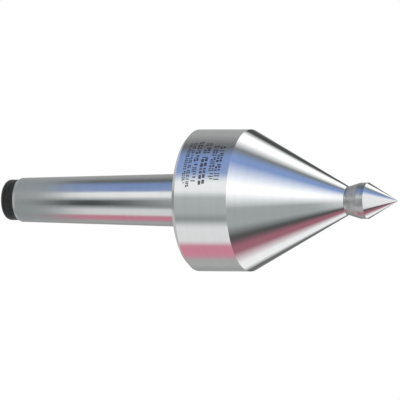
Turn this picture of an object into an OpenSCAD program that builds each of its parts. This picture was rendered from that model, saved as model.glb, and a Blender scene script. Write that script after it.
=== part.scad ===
// Bull-nose live center on a Morse taper shank.
// The axis is +X, pointing at the workpiece. The origin is on the axis at the taper's gauge plane.
// The arbor stands still in the tailstock. The head turns on it, on a ball bearing, a thrust bearing
// and a needle bearing, and carries a hard point pressed into its nose.

/* [Morse taper shank] */
// Diameter at the gauge plane, Morse No. 3
gauge_d = 23.825; // [23.6:0.005:24]
// Taper on the diameter, per millimetre of length
taper_rate = 0.0502; // [0.0495:0.0001:0.0527]
// Length from the gauge plane to the tail's end
shank_len = 86.3; // [80:0.1:92]
// Diameter of the relieved tail
tail_d = 18.3; // [17:0.1:18.6]
// Length of the relieved tail
tail_len = 6.4; // [4:0.1:7]
// Radius round the tail's end
tail_round = 2.7; // [1:0.1:3]
// Length of the slope from the relieved tail up to the taper
tail_slope = 1.5; // [0.3:0.1:2]

/* [Rotating head] */
// Diameter of the head
head_d = 63.5; // [62:0.5:68]
// Length of the head's straight part, with its chamfer
head_len = 26.6; // [26:0.1:32]
// Included angle of the head's cone
cone_angle = 57.5; // [56:0.5:60]
// Diameter of the cone's small end
nose_d = 13; // [12.8:0.1:14]
// Gap between the gauge plane and the head's back face
face_gap = 5.3; // [3.5:0.1:7]
// Chamfer round the head's back edge
back_chamfer = 1.9; // [0.5:0.1:3.2]

/* [Point] */
// Included angle of the point
point_angle = 60; // [58:1:60]
// Diameter of the point's collar
collar_d = 16.2; // [15:0.1:17]
// Length of the collar's straight part
collar_len = 3.5; // [2:0.5:5]
// Length of the undercut behind the collar, where a puller grips
flare_len = 5.4; // [3:0.1:6]
// Diameter of the point's pressed stem
stem_d = 10; // [8:0.5:10]
// Length of the point's pressed stem
stem_len = 11.8; // [8:0.1:12]

/* [Bearings] */
// Balls in the rear bearing, 20 x 42 x 12
rear_balls = 9; // [7:1:10]
// Balls in the thrust bearing
thrust_ball_count = 14; // [10:1:15]
// Rollers in the needle bearing, 15 x 28 x 13
needle_count = 14; // [10:1:16]

/* [Hidden] */
$fn = 128;
eps = 0.01;                       // how far a cutter runs past the face it opens
fit = 0.01;                       // radial gap left where one piece is pressed into another
play = 0.02;                      // gap between a rolling element and its track
break_edge = 0.3;                 // small chamfer that breaks a turned edge

// Radii
gauge_r = gauge_d / 2;
tail_r = tail_d / 2;
head_r = head_d / 2;
nose_r = nose_d / 2;
collar_r = collar_d / 2;
stem_r = stem_d / 2;
land_r = 12.5;                    // where the seal's lip runs, and the thrust bearing's seat
flange_r = 16.5;                  // shoulder that takes the thrust
rear_seat_r = 10;                 // arbor's seat in the rear bearing
needle_seat_r = 7.5;              // arbor's seat in the needle bearing
thread_r = 6;                     // arbor's M12 thread
nut_pitch = 1;
nut_thread_h = 0.55;              // depth of that thread
bore_r = 21;                      // head's main bore
needle_bore_r = 14;               // head's bore round the needle bearing
ring_r = 24;                      // M48 thread that holds the retainer ring
pocket_r = 18.5;                  // seal's seat in the retainer ring
ring_lip_r = 17;                  // ring's inner lip, which passes the flange
nut_r = 11;

// Places along the axis, from the tail to the point
tail_x = -shank_len;
face_x = face_gap;
ring_x = face_x + 0.4;
ring_len = 8;
ring_end = ring_x + ring_len;
spring_len = 1.2;
sleeve_x = ring_end + spring_len;
thrust_x = ring_end + 0.6;
thrust_w = 11;
rear_x = thrust_x + thrust_w;
rear_w = 12;
spacer_x = rear_x + rear_w;
spacer_w = 2.5;
needle_x = spacer_x + spacer_w;
needle_w = 13;
washer_x = needle_x + needle_w;
washer_w = 1;
nut_x = washer_x + washer_w;
nut_w = 4;
arbor_end = nut_x + nut_w + 1.3;
cavity_end = nut_x + nut_w + 0.5;
edge_x = face_x + head_len;       // where the head's cone starts
half_angle = cone_angle / 2;
point_half = point_angle / 2;
nose_x = edge_x + (head_r - nose_r) / tan(half_angle);
shoulder_len = 0.7;               // straight neck of the point, on the cone's small end
collar_x = nose_x + shoulder_len + flare_len;
point_x = collar_x + collar_len;
point_end = point_x + collar_r / tan(point_half);

// Rolling elements
ball_r = 3.175;
ball_pitch_r = 15.5;
thrust_ball_r = 2.778;
thrust_pitch_r = 16.4;
thrust_mid = thrust_x + thrust_w / 2;
thrust_washer_w = 3.6;
needle_r = 1.24;
needle_pitch_r = 11.265;
needle_len = 9.6;
track_swell = 1.04;               // a track's section radius over its ball's

// Keyway along the arbor's thread, for the tab washer's tongue
keyway_w = 3;
keyway_depth = 1.5;

// Retainer ring, its seals and its lock screw
ring_pitch = 1;                   // M48 x 1
ring_thread = 0.55;               // depth of that thread
ring_rim_r = ring_r + 0.15;       // the ring's plain rim, which centres it in the head
rim_bore_r = ring_r + 0.25;       // head's bore round that rim
thread_start = ring_x + 3.4;
thread_end = ring_end - 0.5;
o_ring_r = 0.67;
o_ring_x = ring_x + 1.7;
o_ring_groove = 0.85;             // half of the groove's width
o_ring_seat_r = 22.9;
spanner_hole_r = 1.5;
spanner_pitch_r = 20.7;
spanner_depth = 3.5;
seal_x = ring_x + 0.2;
seal_seat_len = 6.4;
screw_r = 2;
screw_x = ring_x + 6;
screw_len = 6;
screw_sunk = 0.6;
pad_top = head_r - screw_sunk - screw_len - play;
pad_len = pad_top - ring_r + 0.08;

function taper_r(x) = gauge_r + x * taper_rate / 2;

// Points [axial, radius] of a quarter arc, from one angle to another, about a centre
function arc(cx, cr, r, from, to, steps = 8) =
    [for (i = [0:steps]) let (a = from + (to - from) * i / steps) [cx + r * cos(a), cr + r * sin(a)]];

// Points [axial, radius] of a row of thread crests, each pitch a root and a crest
function thread(x0, x1, root, crest, pitch) =
    let (turns = floor((x1 - x0) / pitch + eps))
    [for (i = [0:turns - 1], p = [[0, root], [0.4, crest], [0.6, crest], [1, root]])
        [x0 + (i + p[0]) * pitch, p[1]]];

// Thread between the head and the retainer ring, pulled in by a gap to make the ring's side of it
function retainer_thread(gap) =
    thread(thread_start, thread_end, ring_r - gap, ring_r - ring_thread - gap, ring_pitch);

// Thread between the arbor and the lock nut, pushed out by a gap to make the nut's side of it
function nut_thread(x0, x1, gap) =
    thread(x0, x1, thread_r - nut_thread_h + gap, thread_r + gap, nut_pitch);

// Turns a section drawn as [axial, radius] about the X axis
module turned() rotate([0, 90, 0]) rotate_extrude() mirror([1, -1, 0]) children();

// A plain ring with its four edges broken
module ring_section(x, w, r_in, r_out, c = 0.2)
    polygon([
        [x + c, r_in], [x + w - c, r_in], [x + w, r_in + c], [x + w, r_out - c],
        [x + w - c, r_out], [x + c, r_out], [x, r_out - c], [x, r_in + c]
    ]);

module ring(x, w, r_in, r_out, c = 0.2) turned() ring_section(x, w, r_in, r_out, c);

// A cylinder along the X axis
module rod(x, w, r) translate([x, 0, 0]) rotate([0, 90, 0]) cylinder(h = w, r = r);

// Copies children around the X axis
module around(count) for (i = [0:count - 1]) rotate([i * 360 / count, 0, 0]) children();

// ---------- Pieces that stand still ----------

// Shank, seal land, thrust flange, bearing seats and thread, in one turned piece
module arbor() {
    mouth_r = 5.1;
    guard_r = 4.2;
    pilot_r = 2;
    pilot_end = tail_x + 9.5;
    relief_r = 11.2;
    taper_start = tail_x + tail_len + tail_slope;
    taper_end = face_x - 2.5;
    undercut = 0.2;
    color("silver") difference() {
        turned() polygon(concat(
            [
                [pilot_end + pilot_r * tan(31), 0],
                [pilot_end, pilot_r],
                [tail_x + (guard_r - pilot_r) / tan(30) + 0.5, pilot_r],
                [tail_x + 0.5, guard_r],
                [tail_x, mouth_r]
            ],
            arc(tail_x + tail_round, tail_r - tail_round, tail_round, 180, 90),
            [
                [tail_x + tail_len, tail_r],
                [taper_start, taper_r(taper_start)],
                [taper_end, taper_r(taper_end)],
                [taper_end + 0.4, relief_r],
                [face_x - 1.3, relief_r],
                [face_x - 0.9, land_r - break_edge],
                [face_x - 0.6, land_r],
                [thrust_x - 2.4, land_r],
                [thrust_x - 2.4, flange_r - break_edge],
                [thrust_x - 2.4 + break_edge, flange_r],
                [thrust_x - break_edge, flange_r],
                [thrust_x, flange_r - break_edge],
                [thrust_x, land_r - undercut],
                [thrust_x + 0.6, land_r - undercut],
                [thrust_x + 0.6, land_r],
                [rear_x, land_r],
                [rear_x, rear_seat_r - undercut],
                [rear_x + 0.6, rear_seat_r - undercut],
                [rear_x + 0.6, rear_seat_r],
                [spacer_x - 0.3, rear_seat_r],
                [spacer_x - 0.3, needle_seat_r],
                [washer_x - 0.3, needle_seat_r],
                [washer_x - 0.3, thread_r - nut_thread_h]
            ],
            nut_thread(washer_x, arbor_end - break_edge, 0),
            [[arbor_end, thread_r - nut_thread_h - break_edge], [arbor_end, 0]]
        ));
        // Keyway for the tab washer's tongue
        translate([washer_x - 0.3, -keyway_w / 2, thread_r - keyway_depth])
            cube([arbor_end - washer_x + 1, keyway_w, keyway_depth + 1]);
    }
}
// Stationary race of the thrust bearing, seated on the arbor's flange
module thrust_shaft_washer()
    color("gainsboro") turned() difference() {
        ring_section(thrust_x, thrust_washer_w, land_r + fit, 19.4);
        thrust_track(1);
    }

// Turning race of the thrust bearing, which pushes the rear bearing's outer race
module thrust_housing_washer()
    color("gainsboro") turned() difference() {
        ring_section(rear_x - thrust_washer_w, thrust_washer_w, 13.2, bore_r - fit);
        thrust_track(-1);
    }

// Section of a thrust track, shifted along the axis so that it only just clears the ball
module thrust_track(side) {
    track_r = thrust_ball_r * track_swell;
    translate([thrust_mid + side * (track_r - thrust_ball_r - play), thrust_pitch_r])
        circle(track_r);
}

module rear_inner_race()
    color("gainsboro") turned() difference() {
        ring_section(rear_x, rear_w, rear_seat_r + fit, 13.4, 0.5);
        ball_track(1);
    }

module rear_outer_race()
    color("gainsboro") turned() difference() {
        ring_section(rear_x, rear_w, 17.6, bore_r - fit, 0.5);
        ball_track(-1);
    }

// Section of a ball track, shifted along the radius so that it only just clears the ball
module ball_track(side) {
    track_r = ball_r * track_swell;
    translate([rear_x + rear_w / 2, ball_pitch_r + side * (track_r - ball_r - play)])
        circle(track_r);
}

module race_spacer() color("silver") ring(spacer_x, spacer_w, needle_seat_r + fit, 10.3);

module needle_inner_race()
    color("gainsboro") ring(needle_x, needle_w, needle_seat_r + fit, needle_pitch_r - needle_r - play);

// Locks the nut: a tongue in the arbor's keyway, and tabs round the rim, one bent into the nut
module tab_washer() {
    rim_r = 10.2;
    tab_w = 2.4;
    tab_len = 1.5;                // ends inside the turning race's rib, so that nothing rubs
    tabs = 11;
    color("darkgray") union() {
        difference() {
            rod(washer_x, washer_w, rim_r);
            rod(washer_x - 1, washer_w + 2, thread_r + 0.05);
        }
        translate([washer_x, -keyway_w / 2 + 0.1, thread_r - keyway_depth + 0.15])
            cube([washer_w, keyway_w - 0.2, 1.8]);
        around(tabs) translate([washer_x, -tab_w / 2, rim_r - 0.6]) cube([washer_w, tab_w, tab_len]);
        translate([washer_x, -tab_w / 2, nut_r - 1.15]) cube([washer_w + 3, tab_w, 1]);
    }
}

// Round nut, M12, with four spanner slots
module lock_nut() {
    slot_w = 3;
    slot_depth = 1.9;
    color("dimgray") difference() {
        turned() polygon(concat(
            [[nut_x, nut_r - 0.5]],
            nut_thread(nut_x, nut_x + nut_w, 0.06),
            [
                [nut_x + nut_w, nut_r - 0.6],
                [nut_x + nut_w - 0.6, nut_r],
                [nut_x + 0.5, nut_r]
            ]
        ));
        around(4) translate([nut_x - eps, -slot_w / 2, nut_r - slot_depth])
            cube([nut_w + 1, slot_w, slot_depth + 1]);
    }
}

// ---------- Pieces that turn with the head ----------

// The bull nose: a hollow straight-sided drum that runs into a cone
module bull_nose_head() {
    bore_x = ring_end + 0.3;      // where the main bore starts
    snap_r = needle_bore_r + 0.9;
    snap_x = needle_x - 1.2;
    shoulder_r = 17;
    cavity_r = 12.4;              // room for the lock nut
    drill_slope = tan(59);
    color("lightgray") difference() {
        turned() polygon(concat(
            [
                [face_x, head_r - back_chamfer],
                [face_x, rim_bore_r + break_edge],
                [face_x + break_edge, rim_bore_r],
                [thread_start - 0.2, rim_bore_r],
                [thread_start, ring_r]
            ],
            retainer_thread(0),
            [
                [thread_end, ring_r + 0.1],
                [bore_x, ring_r + 0.1],
                [bore_x, bore_r + break_edge],
                [bore_x + break_edge, bore_r],
                [spacer_x, bore_r],
                [spacer_x, shoulder_r],
                [spacer_x + 1, shoulder_r],
                [spacer_x + 1, needle_bore_r],
                [snap_x, needle_bore_r],
                [snap_x, snap_r],
                [needle_x - 0.05, snap_r],
                [needle_x - 0.05, needle_bore_r],
                [washer_x, needle_bore_r],
                [washer_x, cavity_r],
                [cavity_end, cavity_r],
                [cavity_end + (cavity_r - stem_r) / drill_slope, stem_r],
                [nose_x - 0.2, stem_r],
                [nose_x, stem_r + 0.2],
                [nose_x, nose_r - 0.15],
                [nose_x - 0.15, nose_r + 0.15 * tan(half_angle)],
                [edge_x, head_r],
                [face_x + back_chamfer, head_r]
            ]
        ));
        // Threaded hole for the screw that locks the retainer ring
        translate([screw_x, ring_r - 1.5, 0]) rotate([-90, 0, 0]) cylinder(h = head_r, r = screw_r);
    }
}

// Hard 60 degree point, with a stem pressed into the nose and an undercut for a puller
module point_insert() {
    tip_r = 0.25;                 // the tip is very slightly round
    tip_cx = point_end - tip_r / sin(point_half);
    color("gainsboro") turned() polygon(concat(
        [
            [nose_x - stem_len, 0],
            [nose_x - stem_len, stem_r - fit - 0.6],
            [nose_x - stem_len + 1, stem_r - fit],
            [nose_x - 0.8, stem_r - fit],
            [nose_x - 0.8, stem_r - 0.3],
            [nose_x, stem_r - 0.3],
            [nose_x, nose_r - 0.15],
            [nose_x + 0.1, nose_r - 0.05],
            [nose_x + shoulder_len, nose_r - 0.05],
            [collar_x, collar_r - 0.05],
            [point_x - 0.1, collar_r],
            [point_x, collar_r - 0.06]
        ],
        arc(tip_cx, 0, tip_r, 90 - point_half, 0, 4)
    ));
}

// Threaded ring that closes the head's back, holds the seal, and presses the bearings home
module retainer_ring() {
    thread_gap = 0.06;
    relief_r = ring_r - ring_thread - thread_gap;
    color("slategray") difference() {
        turned() polygon(concat(
            [
                [ring_x, pocket_r + break_edge],
                [ring_x, ring_rim_r - break_edge],
                [ring_x + break_edge, ring_rim_r],
                [o_ring_x - o_ring_groove, ring_rim_r],
                [o_ring_x - o_ring_groove, o_ring_seat_r],
                [o_ring_x + o_ring_groove, o_ring_seat_r],
                [o_ring_x + o_ring_groove, ring_rim_r],
                [thread_start - 0.4, ring_rim_r],
                [thread_start - 0.4, relief_r],
                [thread_start - 0.2, relief_r]
            ],
            retainer_thread(thread_gap),
            [
                [ring_end - 0.4, relief_r],
                [ring_end, relief_r - 0.4],
                [ring_end, ring_lip_r],
                [seal_x + seal_seat_len, ring_lip_r],
                [seal_x + seal_seat_len, pocket_r],
                [ring_x + break_edge, pocket_r]
            ]
        ));
        around(4) rotate([45, 0, 0]) translate([0, 0, spanner_pitch_r])
            rod(ring_x - 1, spanner_depth + 1, spanner_hole_r);
    }
}

module retainer_o_ring()
    color("black") turned() translate([o_ring_x, o_ring_seat_r + o_ring_r + fit]) circle(o_ring_r);

// Cup-point socket screw that stops the retainer ring from turning
module lock_screw() {
    socket_af = 2;
    color("dimgray") translate([screw_x, head_r - screw_sunk, 0]) rotate([90, 0, 0]) difference() {
        cylinder(h = screw_len, r = screw_r - 0.05);
        translate([0, 0, -eps]) cylinder(h = 2.2, d = socket_af / cos(30), $fn = 6);
        translate([0, 0, screw_len - 0.5]) cylinder(h = 0.6, r1 = 0, r2 = 1.1);
    }
}

// Soft pad under the screw, so that it doesn't bruise the thread
module lock_screw_pad() {
    color("goldenrod") translate([screw_x, pad_top, 0])
        rotate([90, 0, 0]) cylinder(h = pad_len, r = 1.7);
}

// Steel case of the lip seal: a pressed cup, open to the bearings
module lip_seal_case()
    color("darkgray") turned() polygon([
        [seal_x + 0.4, 14.35], [seal_x + 1, 14.35], [seal_x + 1, pocket_r - 0.6],
        [seal_x + 6.2, pocket_r - 0.6], [seal_x + 6.2, pocket_r - fit], [seal_x + 0.4, pocket_r - fit]
    ]);

// Rubber of the lip seal: a skin over the cup's face, a dust lip and the sprung main lip
module lip_seal_rubber()
    color("black") turned() polygon([
        [seal_x, pocket_r - 0.05], [seal_x, 13.3], [seal_x + 0.3, land_r + 0.12],
        [seal_x + 0.7, land_r + 0.12], [seal_x + 1.4, 13.4], [seal_x + 2.6, 13.3],
        [seal_x + 3.7, land_r + 0.06], [seal_x + 4.1, land_r + 0.06], [seal_x + 5.3, 13.5],
        [seal_x + 5.3, 15.2], [seal_x + 4.8, 15.2], [seal_x + 4.7, 14.35], [seal_x + 3.4, 14.35],
        [seal_x + 3.1, 14.7], [seal_x + 2.6, 14.3], [seal_x + 0.38, 14.3],
        [seal_x + 0.38, pocket_r - 0.05]
    ]);

// Garter spring that closes the lip on the land
module lip_seal_spring()
    color("gray") turned() translate([seal_x + 4.05, 14.98]) circle(0.6);

// Flat-wire spring with six waves, which takes up the end play
module wave_spring() {
    waves = 6;
    steps = 96;
    wire_t = 0.4;
    inner = 20.05;
    outer = 20.9;
    swing = (spring_len - 0.06 - wire_t) / 2;
    middle = ring_end + spring_len / 2;
    corners = [[-1, inner], [-1, outer], [1, outer], [1, inner]];
    points = [for (i = [0:steps - 1], c = corners) let (a = i * 360 / steps)
        [middle + swing * sin(waves * a) + c[0] * wire_t / 2, c[1] * cos(a), c[1] * sin(a)]];
    faces = [for (i = [0:steps - 1], k = [0:3])
        let (j = (i + 1) % steps, m = (k + 1) % 4) [i * 4 + k, i * 4 + m, j * 4 + m, j * 4 + k]];
    color("gray") polyhedron(points = points, faces = faces, convexity = 4);
}

// Spacer that carries the ring's push to the thrust bearing's turning race
module thrust_sleeve()
    color("silver") ring(sleeve_x, rear_x - thrust_washer_w - sleeve_x, 20.05, bore_r - fit);

// Drawn outer race with a rib at each end, which keeps the rollers in
module needle_outer_race() {
    rib_r = 11.5;
    rib_w = 1.1;
    track_r = needle_pitch_r + needle_r + play;
    color("gainsboro") turned() difference() {
        ring_section(needle_x, needle_w, rib_r, needle_bore_r - fit);
        translate([needle_x + rib_w, 0]) square([needle_w - 2 * rib_w, track_r]);
    }
}

// Internal snap ring that keeps the needle bearing in the head
module needle_snap_ring() {
    thick = 1.05;
    outer = needle_bore_r + 0.75;
    inner = outer - 1.9;
    ear_at = 12.9;
    ear_r = 1.45;
    ear_angle = 13;
    color("dimgray") translate([needle_x - 0.08 - thick, 0, 0]) rotate([0, 90, 0])
        linear_extrude(thick) difference() {
            union() {
                difference() {
                    circle(outer);
                    circle(inner);
                    polygon([[0, 0], [2 * outer * cos(9), 2 * outer * sin(9)],
                        [2 * outer * cos(9), -2 * outer * sin(9)]]);
                }
                for (side = [-1, 1]) rotate(side * ear_angle) translate([ear_at, 0]) circle(ear_r);
            }
            for (side = [-1, 1]) rotate(side * ear_angle) translate([ear_at, 0]) circle(0.6);
        }
}

// ---------- Rolling elements and their cages ----------

module rear_cage() {
    side = 4.2;
    color("darkkhaki") difference() {
        ring(rear_x + rear_w / 2 - side, 2 * side, 14.2, 16.8);
        around(rear_balls) translate([rear_x + rear_w / 2, 0, ball_pitch_r]) sphere(ball_r + 0.07);
    }
}

module rear_bearing_balls()
    color("lightsteelblue") around(rear_balls)
        translate([rear_x + rear_w / 2, 0, ball_pitch_r]) sphere(ball_r);

module thrust_cage()
    color("darkkhaki") difference() {
        ring(thrust_mid - 1.1, 2.2, 13, 19.75);
        around(thrust_ball_count) translate([0, 0, thrust_pitch_r])
            rod(thrust_mid - 2, 4, thrust_ball_r + 0.07);
    }

module thrust_bearing_balls()
    color("lightsteelblue") around(thrust_ball_count)
        translate([thrust_mid, 0, thrust_pitch_r]) sphere(thrust_ball_r);

module needle_cage() {
    inner = 10.75;
    outer = 11.85;
    half = 5.25;
    gap = 0.06;
    mid = needle_x + needle_w / 2;
    color("darkkhaki") difference() {
        ring(mid - half, 2 * half, inner, outer, 0.1);
        around(needle_count) translate([0, 0, needle_pitch_r])
            rod(mid - needle_len / 2 - gap, needle_len + 2 * gap, needle_r + gap);
    }
}

module needle_rollers()
    color("lightsteelblue") around(needle_count) translate([0, 0, needle_pitch_r])
        rod(needle_x + (needle_w - needle_len) / 2, needle_len, needle_r);

arbor();
thrust_shaft_washer();
rear_inner_race();
race_spacer();
needle_inner_race();
tab_washer();
lock_nut();
bull_nose_head();
point_insert();
retainer_ring();
retainer_o_ring();
lock_screw();
lock_screw_pad();
lip_seal_case();
lip_seal_rubber();
lip_seal_spring();
wave_spring();
thrust_sleeve();
thrust_housing_washer();
rear_outer_race();
needle_outer_race();
needle_snap_ring();
rear_cage();
rear_bearing_balls();
thrust_cage();
thrust_bearing_balls();
needle_cage();
needle_rollers();
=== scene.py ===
"""A bull-nose live center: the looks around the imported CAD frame.

Lengths are in metres. The axis of rotation is +X, pointing at the workpiece, and +Z is up.
"""
import math
import random

import bmesh
import bpy
from mathutils import Matrix, Vector


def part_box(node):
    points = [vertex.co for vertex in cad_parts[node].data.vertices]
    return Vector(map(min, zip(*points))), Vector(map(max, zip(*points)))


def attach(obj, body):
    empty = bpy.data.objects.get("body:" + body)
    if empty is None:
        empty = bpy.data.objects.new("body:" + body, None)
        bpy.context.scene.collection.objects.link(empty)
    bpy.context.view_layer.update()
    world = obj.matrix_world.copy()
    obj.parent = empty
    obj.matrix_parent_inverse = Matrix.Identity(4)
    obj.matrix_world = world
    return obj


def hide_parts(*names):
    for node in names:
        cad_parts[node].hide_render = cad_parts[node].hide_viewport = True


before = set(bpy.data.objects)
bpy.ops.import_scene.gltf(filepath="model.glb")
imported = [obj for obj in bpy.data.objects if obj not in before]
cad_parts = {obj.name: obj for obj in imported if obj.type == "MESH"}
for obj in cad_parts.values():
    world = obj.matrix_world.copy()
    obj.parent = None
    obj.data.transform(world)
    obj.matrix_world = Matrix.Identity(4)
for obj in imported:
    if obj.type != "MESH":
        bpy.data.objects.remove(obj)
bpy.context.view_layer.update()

MM = 0.001
HEAD_SLOPE = math.tan(math.radians(28.75))    # the head's cone has an included angle of 57.5 degrees
POINT_SLOPE = math.tan(math.radians(30))      # the point's has 60

# ---------- Places, taken from the frame ----------

head_lo, head_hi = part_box("bull_nose_head")
arbor_lo, arbor_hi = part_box("arbor")
point_lo, point_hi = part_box("point_insert")
_, ring_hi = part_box("retainer_ring")
_, rear_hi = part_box("rear_outer_race")
_, needle_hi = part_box("needle_outer_race")
_, inner_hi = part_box("needle_inner_race")
rear_inner_lo, rear_inner_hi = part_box("rear_inner_race")
washer_lo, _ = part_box("thrust_shaft_washer")
_, nut_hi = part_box("lock_nut")
screw_lo, screw_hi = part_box("lock_screw")

head_r = head_hi.z
face_x = head_lo.x
nose_x = head_hi.x
nose_r = 6.5 * MM
edge_x = nose_x - (head_r - nose_r) / HEAD_SLOPE
chamfer = 1.9 * MM
bore_r = rear_hi.z
tail_x = arbor_lo.x
tip_x = point_hi.x
collar_r = point_hi.z
neck_x = nose_x + 0.7 * MM
collar_x = neck_x + 5.4 * MM
point_x = collar_x + 3.5 * MM


# ---------- Making shapes ----------

def rounded(corners, steps=4):
    """Replaces each corner (x, r, radius) of an outline by an arc, and returns the points (x, r)."""
    points = []
    count = len(corners)
    for i, (x, r, radius) in enumerate(corners):
        here = Vector((x, r))
        before = Vector(corners[i - 1][:2]) - here
        after = Vector(corners[(i + 1) % count][:2]) - here
        if radius <= 0:
            points.append((x, r))
            continue
        before.normalize()
        after.normalize()
        half = math.acos(max(-1.0, min(1.0, before.dot(after)))) / 2
        reach = radius / math.tan(half)
        centre = here + (before + after).normalized() * (radius / math.sin(half))
        start = here + before * reach - centre
        end = here + after * reach - centre
        turn = start.angle_signed(end)
        for step in range(steps + 1):
            points.append(tuple(centre + Matrix.Rotation(-turn * step / steps, 2) @ start))
    return points


def link(name, bm):
    """Puts a finished bmesh into the scene as an object with that name."""
    mesh = bpy.data.meshes.new(name)
    bm.to_mesh(mesh)
    bm.free()
    obj = bpy.data.objects.new(name, mesh)
    bpy.context.scene.collection.objects.link(obj)
    return obj


def circle(radius, count):
    """Points (a, b) evenly round a circle."""
    turns = [2 * math.pi * i / count for i in range(count)]
    return [(radius * math.cos(turn), radius * math.sin(turn)) for turn in turns]


def join_rings(bm, rings):
    """Puts a band of faces between each ring of vertices and the next."""
    for ring, following in zip(rings, rings[1:]):
        for i in range(len(ring)):
            j = (i + 1) % len(ring)
            bm.faces.new((ring[i], ring[j], following[j], following[i]))


def cap(bm, rings):
    """Closes a tube of joined rings at both ends."""
    bm.faces.new(rings[0])
    bm.faces.new(rings[-1])


def lathe(name, outline, segments=288):
    """Turns a closed outline of points (x, r) about the X axis. A point on the axis becomes one vertex."""
    on_axis = 1e-7
    bm = bmesh.new()
    rings = []
    for x, r in outline:
        spots = [(0, 0)] if r < on_axis else circle(r, segments)
        rings.append([bm.verts.new((x, y, z)) for y, z in spots])
    for ring, following in zip(rings, rings[1:] + rings[:1]):
        for i in range(segments):
            j = (i + 1) % segments
            corners = [ring[i % len(ring)], ring[j % len(ring)],
                       following[j % len(following)], following[i % len(following)]]
            face = list(dict.fromkeys(corners))
            if len(face) > 2:
                bm.faces.new(face)
    bmesh.ops.recalc_face_normals(bm, faces=bm.faces)
    return link(name, bm)


def apply_modifier(obj, kind, **settings):
    """Adds a modifier to obj and applies it."""
    modifier = obj.modifiers.new(kind.lower(), kind)
    for key, value in settings.items():
        setattr(modifier, key, value)
    with bpy.context.temp_override(object=obj, active_object=obj, selected_objects=[obj]):
        bpy.ops.object.modifier_apply(modifier=modifier.name)


def drill(obj, centre, direction, radius, depth, segments=48):
    """Cuts a round hole into obj, from centre along direction, with a small chamfer at its mouth."""
    lip = 0.25 * MM
    bm = bmesh.new()
    rings = []
    for along, r in ((-lip, radius + 2 * lip), (lip, radius), (depth, radius)):
        rings.append([bm.verts.new((a, b, along)) for a, b in circle(r, segments)])
    join_rings(bm, rings)
    cap(bm, rings)
    bmesh.ops.recalc_face_normals(bm, faces=bm.faces)
    turn = Vector(direction).to_track_quat("Z", "Y").to_matrix().to_4x4()
    bm.transform(Matrix.Translation(centre) @ turn)
    cutter = link("cutter", bm)
    mesh = cutter.data
    apply_modifier(obj, "BOOLEAN", operation="DIFFERENCE", solver="EXACT", object=cutter)
    bpy.data.objects.remove(cutter)
    bpy.data.meshes.remove(mesh)


def finish_surface(obj, sharp_angle=32):
    """Smooth shading, with sharp edges where faces meet at an angle, and flat faces that stay flat."""
    mesh = obj.data
    bm = bmesh.new()
    bm.from_mesh(mesh)
    for face in bm.faces:
        face.smooth = True
    for edge in bm.edges:
        edge.smooth = edge.calc_face_angle(math.pi) < math.radians(sharp_angle)
    bm.to_mesh(mesh)
    bm.free()
    apply_modifier(obj, "WEIGHTED_NORMAL", mode="FACE_AREA", weight=100, keep_sharp=True)


def paint(obj, materials, choose):
    """Gives obj its materials, and each face the one whose number choose returns for its centre."""
    obj.data.materials.clear()
    for material in materials:
        obj.data.materials.append(material)
    for face in obj.data.polygons:
        face.material_index = choose(face.center)


def stand_for(obj, node, body):
    """obj takes the place of one CAD node."""
    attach(obj, body)
    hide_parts(node)


# ---------- Materials ----------

class Nodes:
    """A short way to write the nodes of a material or a world."""

    def __init__(self, owner):
        owner.use_nodes = True
        self.tree = owner.node_tree
        self.tree.nodes.clear()

    def add(self, kind, **settings):
        node = self.tree.nodes.new(kind)
        for key, value in settings.items():
            setattr(node, key, value)
        return node

    def feed(self, socket, value):
        if isinstance(value, bpy.types.NodeSocket):
            self.tree.links.new(value, socket)
        else:
            socket.default_value = value

    def math(self, operation, a, b=0.0):
        node = self.add("ShaderNodeMath", operation=operation)
        self.feed(node.inputs[0], a)
        self.feed(node.inputs[1], b)
        return node.outputs[0]

    def between(self, value, low, high, to_low=0.0, to_high=1.0, curve="LINEAR"):
        """Carries value from the range low to high over to another range, and holds it at the ends."""
        node = self.add("ShaderNodeMapRange", interpolation_type=curve)
        for socket, given in zip(node.inputs, (value, low, high, to_low, to_high)):
            self.feed(socket, given)
        return node.outputs[0]

    def noise(self, vector, scale, detail=4.0, roughness=0.55):
        node = self.add("ShaderNodeTexNoise")
        self.feed(node.inputs["Vector"], vector)
        self.feed(node.inputs["Scale"], scale)
        self.feed(node.inputs["Detail"], detail)
        self.feed(node.inputs["Roughness"], roughness)
        return node.outputs[0]

    def split(self, vector):
        """The three parts x, y and z of a vector."""
        node = self.add("ShaderNodeSeparateXYZ")
        self.feed(node.inputs[0], vector)
        return tuple(node.outputs)

    def mix(self, factor, a, b):
        """Colour a where factor is 0, and colour b where it is 1."""
        node = self.add("ShaderNodeMix", data_type="RGBA")
        colours = [s for s in node.inputs if s.type == "RGBA"]
        self.feed(node.inputs["Factor"], factor)
        self.feed(colours[0], a)
        self.feed(colours[1], b)
        return next(s for s in node.outputs if s.type == "RGBA")

    def bump(self, height, strength, distance, under=None):
        """A bumpy normal, on top of the normal under it if there is one."""
        node = self.add("ShaderNodeBump")
        self.feed(node.inputs["Height"], height)
        self.feed(node.inputs["Strength"], strength)
        self.feed(node.inputs["Distance"], distance)
        if under is not None:
            self.feed(node.inputs["Normal"], under)
        return node.outputs[0]

    def place(self):
        """Object coordinates, in metres."""
        return self.add("ShaderNodeTexCoord").outputs["Object"]

    def lathe_place(self, along, around):
        """Coordinates that run along the surface from ring to ring, and slowly round it, with no seam."""
        smallest = 1e-5
        x, y, z = self.split(self.place())
        squares = self.math("ADD", self.math("MULTIPLY", y, y), self.math("MULTIPLY", z, z))
        radius = self.math("MAXIMUM", self.math("SQRT", squares), smallest)
        joined = self.add("ShaderNodeCombineXYZ")
        self.feed(joined.inputs[0], self.math("MULTIPLY", self.math("SUBTRACT", x, radius), along))
        self.feed(joined.inputs[1], self.math("MULTIPLY", self.math("DIVIDE", y, radius), around))
        self.feed(joined.inputs[2], self.math("MULTIPLY", self.math("DIVIDE", z, radius), around))
        return joined.outputs[0]


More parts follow.
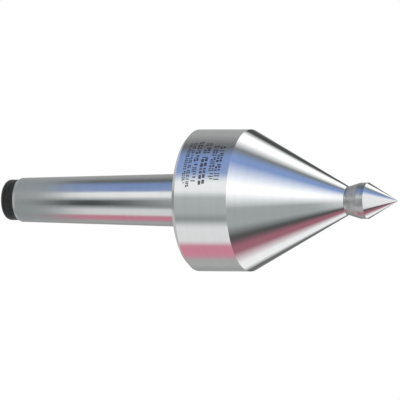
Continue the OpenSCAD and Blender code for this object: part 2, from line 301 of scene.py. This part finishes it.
class Surface(Nodes):
    """The nodes of a new material, round one Principled surface."""

    def __init__(self, name):
        self.material = bpy.data.materials.new(name)
        super().__init__(self.material)
        self.surface = self.add("ShaderNodeBsdfPrincipled")
        output = self.add("ShaderNodeOutputMaterial")
        self.feed(output.inputs["Surface"], self.surface.outputs[0])

    def set(self, **values):
        for name, value in values.items():
            self.feed(self.surface.inputs[name.replace("_", " ")], value)


def grey(value, tint=(1, 1, 1)):
    """A linear colour of one value, times a tint."""
    return (value * tint[0], value * tint[1], value * tint[2], 1)


def turned_steel(name, shade, rough, spread, depth, mottle=0.05, tint=(0.985, 1, 1.005)):
    """Steel turned or ground on a lathe: fine rings, and a highlight that spreads along the axis."""
    n = Surface(name)
    fine = n.noise(n.lathe_place(2600, 0.6), 1.0, detail=3.0)
    bands = n.noise(n.lathe_place(420, 0.35), 1.0, detail=2.0)
    stains = n.noise(n.place(), 55.0, detail=3.0)
    brightness = n.math("ADD", *(n.between(cloud, 0.3, 0.7, -mottle, mottle) for cloud in (bands, stains)))
    low = grey(shade * 0.88, tint)
    high = grey(shade * 1.12, tint)
    wear = n.math("ADD", n.math("MULTIPLY", fine, 0.4), n.math("MULTIPLY", stains, 0.6))
    n.set(Base_Color=n.mix(n.between(brightness, -0.12, 0.12), low, high))
    n.set(Metallic=1.0, Roughness=n.between(wear, 0.3, 0.7, rough * 0.85, rough * 1.2))
    n.set(Anisotropic=spread, Anisotropic_Rotation=0.25)
    n.set(Tangent=n.add("ShaderNodeTangent", direction_type="RADIAL", axis="X").outputs[0])
    n.set(Normal=n.bump(fine, 0.3, depth))
    return n.material


def matt_steel(name, shade, tint=(1, 1, 1)):
    """Hard steel as it comes from heat treatment: dull, mottled, with a fine grain."""
    n = Surface(name)
    patches = n.noise(n.place(), 260.0, detail=5.0, roughness=0.65)
    rings = n.noise(n.lathe_place(1500, 1.2), 1.0, detail=3.0)
    grain = n.noise(n.place(), 3200.0, detail=2.0)
    blend = n.math("ADD", n.math("MULTIPLY", patches, 0.7), n.math("MULTIPLY", rings, 0.3))
    n.set(Base_Color=n.mix(n.between(blend, 0.36, 0.64), grey(shade * 0.72, tint), grey(shade * 1.2, tint)))
    n.set(Metallic=1.0, Roughness=n.between(blend, 0.35, 0.65, 0.24, 0.34))
    n.set(Normal=n.bump(grain, 0.3, 0.02 * MM, n.bump(rings, 0.3, 0.03 * MM)))
    return n.material


def blackened_steel(name, shade=0.009):
    """Black oxide on turned steel: near black, a dull sheen, with paler rings where it has rubbed."""
    n = Surface(name)
    rubbed = n.noise(n.place(), 420.0, detail=6.0, roughness=0.7)
    rings = n.noise(n.lathe_place(900, 0.5), 1.0, detail=3.0)
    worn = n.math("ADD", n.math("MULTIPLY", rubbed, 0.35), n.math("MULTIPLY", rings, 0.65))
    n.set(Base_Color=n.mix(n.between(worn, 0.44, 0.62), grey(shade), grey(shade * 4, (0.95, 1, 1.06))))
    n.set(Metallic=0.3, Roughness=n.between(rubbed, 0.3, 0.7, 0.28, 0.44))
    n.set(Normal=n.bump(rings, 0.35, 0.02 * MM))
    return n.material


def bearing_steel(name, shade=0.62, rough=0.09):
    """Ground and polished bearing steel."""
    n = Surface(name)
    fine = n.noise(n.lathe_place(3200, 0.5), 1.0, detail=2.0)
    haze = n.noise(n.place(), 180.0, detail=3.0)
    n.set(Base_Color=n.mix(n.between(haze, 0.3, 0.7), grey(shade * 0.95), grey(shade * 1.05)))
    n.set(Metallic=1.0, Roughness=n.between(haze, 0.3, 0.7, rough * 0.8, rough * 1.5))
    n.set(Normal=n.bump(fine, 0.15, 0.004 * MM))
    return n.material


def pressed_steel(name, shade=0.42):
    """Plain pressed or drawn steel, satin."""
    n = Surface(name)
    grain = n.noise(n.place(), 900.0, detail=4.0)
    cloud = n.noise(n.place(), 120.0, detail=3.0)
    n.set(Base_Color=n.mix(n.between(cloud, 0.3, 0.7), grey(shade * 0.85), grey(shade * 1.15, (1, 1, 1.02))))
    n.set(Metallic=1.0, Roughness=n.between(grain, 0.3, 0.7, 0.24, 0.38))
    n.set(Normal=n.bump(grain, 0.2, 0.01 * MM))
    return n.material


def machined_brass(name):
    """Turned brass, with fine rings and a warm cloudy tone."""
    n = Surface(name)
    rings = n.noise(n.lathe_place(1700, 0.8), 1.0, detail=3.0)
    cloud = n.noise(n.place(), 150.0, detail=4.0)
    n.set(Base_Color=n.mix(n.between(cloud, 0.3, 0.7), (0.53, 0.35, 0.12, 1), (0.66, 0.47, 0.19, 1)))
    n.set(Metallic=1.0, Roughness=n.between(cloud, 0.3, 0.7, 0.2, 0.34))
    n.set(Normal=n.bump(rings, 0.3, 0.015 * MM))
    return n.material


def seal_rubber(name):
    """Black seal rubber: dull, with a fine grain."""
    n = Surface(name)
    grain = n.noise(n.place(), 2400.0, detail=4.0)
    cloud = n.noise(n.place(), 200.0, detail=3.0)
    n.set(Base_Color=n.mix(n.between(cloud, 0.3, 0.7), grey(0.012), grey(0.026)))
    n.set(Metallic=0.0, Roughness=n.between(cloud, 0.3, 0.7, 0.5, 0.66))
    n.set(Normal=n.bump(grain, 0.35, 0.02 * MM))
    return n.material


def etched(name):
    """Dark etched steel, for the dashes on the drum."""
    n = Surface(name)
    grain = n.noise(n.place(), 2600.0, detail=3.0)
    n.set(Base_Color=n.mix(n.between(grain, 0.3, 0.7), grey(0.07), grey(0.16, (1, 1, 1.05))))
    n.set(Metallic=1.0, Roughness=n.between(grain, 0.3, 0.7, 0.3, 0.45))
    n.set(Normal=n.bump(grain, 0.3, 0.01 * MM))
    return n.material


MICRON = 0.001 * MM
drum_steel = turned_steel("drum_steel", shade=0.62, rough=0.15, spread=0.6, depth=4 * MICRON, mottle=0.02)
cone_steel = turned_steel("cone_steel", shade=0.62, rough=0.11, spread=0.5, depth=3 * MICRON, mottle=0.015)
shank_steel = turned_steel("shank_steel", shade=0.55, rough=0.19, spread=0.5, depth=4 * MICRON, mottle=0.015)
point_steel = turned_steel("point_steel", shade=0.62, rough=0.11, spread=0.5, depth=3 * MICRON, mottle=0.015)
back_steel = turned_steel("back_steel", shade=0.56, rough=0.26, spread=0.5, depth=15 * MICRON)
collar_steel = matt_steel("collar_steel", shade=0.42, tint=(0.98, 1, 1))
black_oxide = blackened_steel("black_oxide")
race_steel = bearing_steel("race_steel")
rolling_steel = bearing_steel("rolling_steel", shade=0.68, rough=0.05)
plain_steel = pressed_steel("plain_steel")
brass = machined_brass("machined_brass")
rubber = seal_rubber("seal_rubber")
etched_steel = etched("etched_steel")


# ---------- The head ----------

def make_head():
    """The drum and cone, hollow behind, with its small rounds and the hole for the lock screw."""
    rim_r = ring_hi.z + 0.1 * MM
    step_x = ring_hi.x + 0.3 * MM
    cavity_r = 12.4 * MM
    cavity_end = nut_hi.x + 0.5 * MM
    stem_r = 5 * MM
    drill_slope = math.tan(math.radians(59))
    drill_end = cavity_end + (cavity_r - stem_r) / drill_slope
    soft = 0.25 * MM
    crisp = 0.15 * MM
    bevel = 0.3 * MM
    hole_x = (screw_lo.x + screw_hi.x) / 2
    hole_r = 2 * MM
    head = lathe("bull_nose_shell", rounded([
        (face_x, head_r - chamfer, soft),
        (face_x, rim_r + bevel, 0),
        (face_x + bevel, rim_r, 0),
        (step_x, rim_r, 0),
        (step_x, bore_r, 0),
        (rear_hi.x, bore_r, 0),
        (rear_hi.x, needle_hi.z, 0),
        (needle_hi.x, needle_hi.z, 0),
        (needle_hi.x, cavity_r, 0),
        (cavity_end, cavity_r, 0),
        (drill_end, stem_r, 0),
        (nose_x, stem_r, 0),
        (nose_x, nose_r, crisp),
        (edge_x, head_r, soft),
        (face_x + chamfer, head_r, soft),
    ]), 360)
    drill(head, (hole_x, head_r, 0), (0, -1, 0), hole_r, head_r - ring_hi.z)
    finish_surface(head)

    def choose(centre):
        on_back = centre.x < face_x + 0.1 * MM and math.hypot(centre.y, centre.z) < head_r - 0.5 * chamfer
        on_cone = centre.x > edge_x + 0.02 * MM
        return 2 if on_back else 1 if on_cone else 0

    paint(head, [drum_steel, cone_steel, back_steel], choose)
    stand_for(head, "bull_nose_head", "head")


def make_marks():
    """Rows of plain dashes etched round the drum, where a maker would put words. They spell nothing."""
    dice = random.Random(11)
    proud = 0.012 * MM
    sunk = 0.05 * MM
    slim = 0.5 * MM
    gap = 0.22 * MM
    slim_share = 0.3
    pair_share = 0.55
    rows = [
        # start and end from the drum's back face, longest dash, first and last angle up from the front
        (5.0, 6.4, 1.0, 13, 52),
        (6.9, 8.4, 1.0, 10, 52),
        (9.2, 11.4, 1.5, 15, 53),
        (12.8, 15.8, 2.1, 11, 54),
        (17.2, 19.6, 1.1, 16, 50),
        (20.0, 22.6, 1.4, 15, 49),
    ]
    bm = bmesh.new()

    def dash(x0, x1, start, end):
        """One raised dash, from x0 to x1 along the drum, and from start to end round it."""
        inner = head_r - sunk
        outer = head_r + proud
        section = ((x0, inner), (x1, inner), (x1, outer), (x0, outer))
        rings = []
        for turn in (start, (start + end) / 2, end):
            rings.append([bm.verts.new((x, -r * math.cos(turn), r * math.sin(turn))) for x, r in section])
        join_rings(bm, rings)
        cap(bm, rings)

    for row_start, row_end, longest, first, last in rows:
        low = face_x + row_start * MM
        high = face_x + row_end * MM
        third = (high - low) / 3
        angle = math.radians(first) + dice.uniform(0, 0.03)
        while angle < math.radians(last):
            turn = longest * MM * dice.uniform(0.35, 1.0) / head_r
            kind = dice.random()
            if kind < slim_share:
                dash(low, high, angle, angle + min(turn, slim / head_r))
            elif kind < slim_share + pair_share:
                dash(low, low + 1.3 * third, angle, angle + turn)
                dash(high - 1.3 * third, high, angle + 0.25 * turn, angle + 1.2 * turn)
            else:
                dash(low + third, high, angle, angle + 0.6 * turn)
            angle += 1.2 * turn + gap * dice.uniform(0.7, 1.6) / head_r
    bmesh.ops.recalc_face_normals(bm, faces=bm.faces)
    marks = link("etched_marks", bm)
    marks.data.materials.append(etched_steel)
    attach(marks, "head")


def make_point():
    """The hard point: a pressed stem, a waist for a puller, a matt collar and a bright 60 degree cone."""
    stem_r = 4.99 * MM
    gap = 0.05 * MM
    soft = 0.12 * MM
    tip_round = 0.25 * MM
    tip_centre = tip_x - tip_round

    def on_tip(degrees):
        turn = math.radians(degrees)
        return tip_centre + tip_round * math.cos(turn), tip_round * math.sin(turn)

    outline = [(point_lo.x, 0.0)]
    outline += rounded([
        (point_lo.x, 0.0, 0),
        (point_lo.x, stem_r, 0.8 * MM),
        (nose_x, stem_r, 0),
        (nose_x, nose_r - gap, soft),
        (neck_x, nose_r - gap, 1.5 * MM),
        (collar_x, collar_r - gap, 1.2 * MM),
        (point_x, collar_r - 0.02 * MM, soft),
        (*on_tip(60), 0),
    ])[1:]
    outline += [on_tip(40), on_tip(20), (tip_x, 0.0)]
    point = lathe("hard_point", outline, 256)
    finish_surface(point)

    def choose(centre):
        return 1 if nose_x - 2 * gap < centre.x < point_x - gap else 0

    paint(point, [point_steel, collar_steel], choose)
    stand_for(point, "point_insert", "head")


# ---------- The arbor ----------

def make_arbor():
    """The taper shank with its blackened tail and center hole, and the stepped spindle inside the head."""
    taper = 0.0502 / 2                # how much the shank's radius grows per unit of length
    gauge_r = 23.825 / 2 * MM
    tail_r = 9.15 * MM
    tail_end = tail_x + 6.4 * MM
    tail_slope = 1.5 * MM
    black_end = tail_end + 0.15 * MM
    land_r = 12.5 * MM
    flange_r = 16.5 * MM
    flange_x = washer_lo.x - 2.4 * MM
    relief_x = face_x - 2.5 * MM
    relief_end = face_x - 1.3 * MM
    land_x = face_x - 0.7 * MM
    relief_r = 11.2 * MM
    rear_seat_r = 10 * MM
    needle_seat_r = 7.5 * MM
    thread_r = 5.5 * MM
    step = 0.3 * MM
    pilot_r = 2 * MM
    pilot_x = tail_x + 9.5 * MM
    pilot_slope = math.tan(math.radians(31))
    guard_r = 4.2 * MM
    guard_x = tail_x + 0.5 * MM
    mouth_r = 5.1 * MM
    cone_x = guard_x + (guard_r - pilot_r) / POINT_SLOPE
    soft = 0.25 * MM
    crisp = 0.15 * MM

    def shank_r(x):
        return gauge_r + x * taper

    outline = [(pilot_x + pilot_r * pilot_slope, 0.0)]
    outline += rounded([
        (pilot_x, 0.0, 0),
        (pilot_x, pilot_r, 0),
        (cone_x, pilot_r, 0),
        (guard_x, guard_r, 0),
        (tail_x, mouth_r, crisp),
        (tail_x, tail_r, 2.7 * MM),
        (tail_end, tail_r, 0.1 * MM),
        (tail_end + tail_slope, shank_r(tail_end + tail_slope), crisp),
        (relief_x, shank_r(relief_x), soft),
        (relief_x + 0.4 * MM, relief_r, 0),
        (relief_end, relief_r, 0),
        (land_x, land_r, crisp),
        (flange_x, land_r, 0),
        (flange_x, flange_r, soft),
        (washer_lo.x, flange_r, soft),
        (washer_lo.x, land_r, 0),
        (rear_inner_lo.x, land_r, 0),
        (rear_inner_lo.x, rear_seat_r, 0),
        (rear_inner_hi.x - step, rear_seat_r, 0),
        (rear_inner_hi.x - step, needle_seat_r, 0),
        (inner_hi.x - step, needle_seat_r, 0),
        (inner_hi.x - step, thread_r, 0),
        (arbor_hi.x, thread_r, 0.5 * MM),
        (arbor_hi.x, 0.0, 0),
    ], steps=6)[1:]
    arbor = lathe("taper_arbor", outline, 288)
    finish_surface(arbor)

    def choose(centre):
        return 1 if centre.x < black_end and math.hypot(centre.y, centre.z) > guard_r else 0

    paint(arbor, [shank_steel, black_oxide], choose)
    stand_for(arbor, "arbor", "arbor")


make_head()
make_marks()
make_point()
make_arbor()

# ---------- Carried-over CAD pieces ----------

NODE_MATERIALS = {
    "thrust_shaft_washer": race_steel,
    "rear_inner_race": race_steel,
    "race_spacer": plain_steel,
    "needle_inner_race": race_steel,
    "tab_washer": plain_steel,
    "lock_nut": black_oxide,
    "retainer_ring": black_oxide,
    "retainer_o_ring": rubber,
    "lock_screw": black_oxide,
    "lock_screw_pad": brass,
    "lip_seal_case": plain_steel,
    "lip_seal_rubber": rubber,
    "lip_seal_spring": plain_steel,
    "wave_spring": plain_steel,
    "thrust_sleeve": plain_steel,
    "thrust_housing_washer": race_steel,
    "rear_outer_race": race_steel,
    "needle_outer_race": race_steel,
    "needle_snap_ring": black_oxide,
    "rear_cage": brass,
    "rear_bearing_balls": rolling_steel,
    "thrust_cage": brass,
    "thrust_bearing_balls": rolling_steel,
    "needle_cage": brass,
    "needle_rollers": rolling_steel,
}
for node, material in NODE_MATERIALS.items():
    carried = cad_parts[node]
    carried.data.materials.clear()
    carried.data.materials.append(material)


# ---------- Camera ----------

def make_camera():
    """A very long lens, level with the axis, 21 degrees off the side view towards the point."""
    turn = math.radians(21.25)
    distance = 3.5
    frame_width = 178.9 * MM
    sensor = 36.0
    roll = math.radians(0.15)
    target = Vector((7.3 * MM, 0, 0.13 * MM))
    data = bpy.data.cameras.new("camera")
    data.sensor_width = sensor
    data.lens = sensor * distance / frame_width
    data.clip_end = 20
    camera = bpy.data.objects.new("camera", data)
    camera.location = target + distance * Vector((math.sin(turn), -math.cos(turn), 0))
    aim = (target - camera.location).to_track_quat("-Z", "Y").to_matrix()
    camera.rotation_euler = (aim @ Matrix.Rotation(roll, 3, "Z")).to_euler()
    bpy.context.scene.collection.objects.link(camera)
    bpy.context.scene.camera = camera


# ---------- Studio ----------

def screen(level, tint=(1, 1, 1)):
    """A linear colour from a level on a screen, which goes from 0 to 255, and a tint."""
    share = level / 255
    linear = share / 12.92 if share <= 0.04045 else ((share + 0.055) / 1.055) ** 2.4
    return tuple(linear * t for t in tint)


METAL = 0.62                      # how much of a card's light the steel sends back
WHITE = (1, 1, 1)
COOL = (0.94, 1, 1)
BLUE = (0.7, 1, 1.8)
ROSE = (2.5, 1, 1.3)

# The studio's soft cards: a name, two angles up from the front, a level and a tint. Between two cards
# the light runs from one to the next. The straight sides mirror the first ring and the cones the second.
SIDE_RING = [
    ("back", -180, -150, 140, WHITE),
    ("under", -130, -115, 160, WHITE),
    ("rose", -100, -80, 130, ROSE),
    ("low white", -70, -45, 220, WHITE),
    ("gap", -32, -30, 140, COOL),
    ("front grey", -20, 5, 170, COOL),
    ("front white", 15, 30, 230, WHITE),
    ("blue", 45, 75, 145, BLUE),
    ("upper gap", 95, 100, 100, COOL),
    ("top", 130, 180, 150, WHITE),
]
CONE_RING = [
    ("back", -180, -150, 95, WHITE),
    ("low white", -135, -120, 235, WHITE),
    ("rose", -95, -85, 100, ROSE),
    ("gap", -70, -65, 80, WHITE),
    ("front grey", -45, -15, 160, COOL),
    ("front white", 15, 30, 260, WHITE),
    ("blue", 70, 80, 150, BLUE),
    ("dusk", 95, 95, 120, COOL),
    ("top white", 115, 130, 265, WHITE),
    ("upper gap", 145, 180, 70, WHITE),
]


def light_of(level, tint):
    """What a card gives off, so that the steel shows it at that level."""
    return (*(c / METAL for c in screen(level, tint)), 1)


def ring_light(n, turn, cards):
    """A ramp through the cards of one ring. turn goes from 0 to 1 once round."""
    node = n.add("ShaderNodeValToRGB")
    n.feed(node.inputs[0], turn)
    stops = node.color_ramp
    while len(stops.elements) > 1:
        stops.elements.remove(stops.elements[-1])
    ends = [(angle, level, tint) for _, low, high, level, tint in cards for angle in (low, high)]
    for i, (degrees, level, tint) in enumerate(ends):
        place = (degrees + 180) / 360
        stop = stops.elements[0] if i == 0 else stops.elements.new(place)
        stop.position = place
        stop.color = light_of(level, tint)
    return node.outputs[0]


def make_world():
    """White for the camera, and for the metal a ring of soft cards round the axis of the object."""
    world = bpy.data.worlds.new("studio")
    bpy.context.scene.world = world
    n = Nodes(world)
    x, y, z = n.split(n.add("ShaderNodeTexCoord").outputs["Generated"])
    angle = n.math("ARCTAN2", z, n.math("MULTIPLY", y, -1.0))
    turn = n.math("ADD", n.math("DIVIDE", angle, 2 * math.pi), 0.5)

    def past(low, high):
        """0 for rays whose x is under low, 1 for those over high, and smooth between."""
        return n.between(x, low, high, curve="SMOOTHSTEP")

    rings = n.mix(past(-0.32, -0.15), ring_light(n, turn, SIDE_RING), ring_light(n, turn, CONE_RING))
    rings = n.mix(past(-0.75, -0.5), light_of(176, WHITE), rings)
    rings = n.mix(past(0.72, 0.92), rings, light_of(140, COOL))
    path = n.add("ShaderNodeLightPath")
    soft = n.mix(path.outputs["Is Diffuse Ray"], rings, grey(1.02))
    background = n.add("ShaderNodeBackground")
    n.feed(background.inputs["Color"], n.mix(path.outputs["Is Camera Ray"], soft, grey(1.0)))
    n.feed(n.add("ShaderNodeOutputWorld").inputs["Surface"], background.outputs[0])


def make_floor():
    """A plain pale floor just under the head, as bright as the background."""
    size = 6.0
    bm = bmesh.new()
    bmesh.ops.create_grid(bm, x_segments=1, y_segments=1, size=size / 2)
    bm.transform(Matrix.Translation((0, 0, -head_r - 0.05 * MM)))
    floor = link("floor", bm)
    n = Surface("floor_white")
    cloud = n.noise(n.place(), 3.0)
    n.set(Base_Color=grey(0.0), Roughness=1.0, Specular_IOR_Level=0.0)
    n.set(Emission_Color=n.mix(cloud, grey(1.0), grey(1.02)), Emission_Strength=1.0)
    floor.data.materials.append(n.material)
    floor.visible_glossy = False


def make_card(name, along, angles, level, fades, tint=WHITE, distance=0.1):
    """A card near the object that only reflections see, curved round the axis at that distance.

    It spans two places along the axis, with a soft fade at each, and two angles up from the front.
    """
    x0, x1 = along
    low, high = angles
    steps = 12
    bm = bmesh.new()
    edges = []
    for i in range(steps + 1):
        turn = math.radians(low + (high - low) * i / steps)
        y, z = -distance * math.cos(turn), distance * math.sin(turn)
        edges.append([bm.verts.new((x, y, z)) for x in along])
    for edge, following in zip(edges, edges[1:]):
        bm.faces.new((edge[0], edge[1], following[1], following[0]))
    card = link(name, bm)
    n = Surface(name + "_light")
    x = n.split(n.place())[0]
    n.set(Base_Color=grey(0.0), Roughness=1.0, Specular_IOR_Level=0.0)
    n.set(Emission_Color=light_of(level, tint), Emission_Strength=1.0)
    n.set(Alpha=n.math("MULTIPLY", n.between(x, x0, x0 + fades[0]), n.between(x, x1, x1 - fades[1])))
    card.data.materials.append(n.material)
    card.visible_camera = False
    card.visible_diffuse = False
    card.visible_shadow = False


make_camera()
make_world()
make_floor()
make_card("white_card", along=(-0.1, -0.035), angles=(15, 35), level=240, fades=(0.01, 0.005))
make_card("dark_card", along=(-0.11, -0.035), angles=(-25, 0), level=30, fades=(0.02, 0.045))
make_card("tail_card", along=(-0.3, -0.09), angles=(-125, 125), level=150, fades=(0.01, 0.015), tint=COOL,
          distance=0.103)
make_card("point_white", along=(0.13, 0.24), angles=(-60, 45), level=230, fades=(0.03, 0.05))
bpy.context.scene.view_settings.view_transform = "Standard"
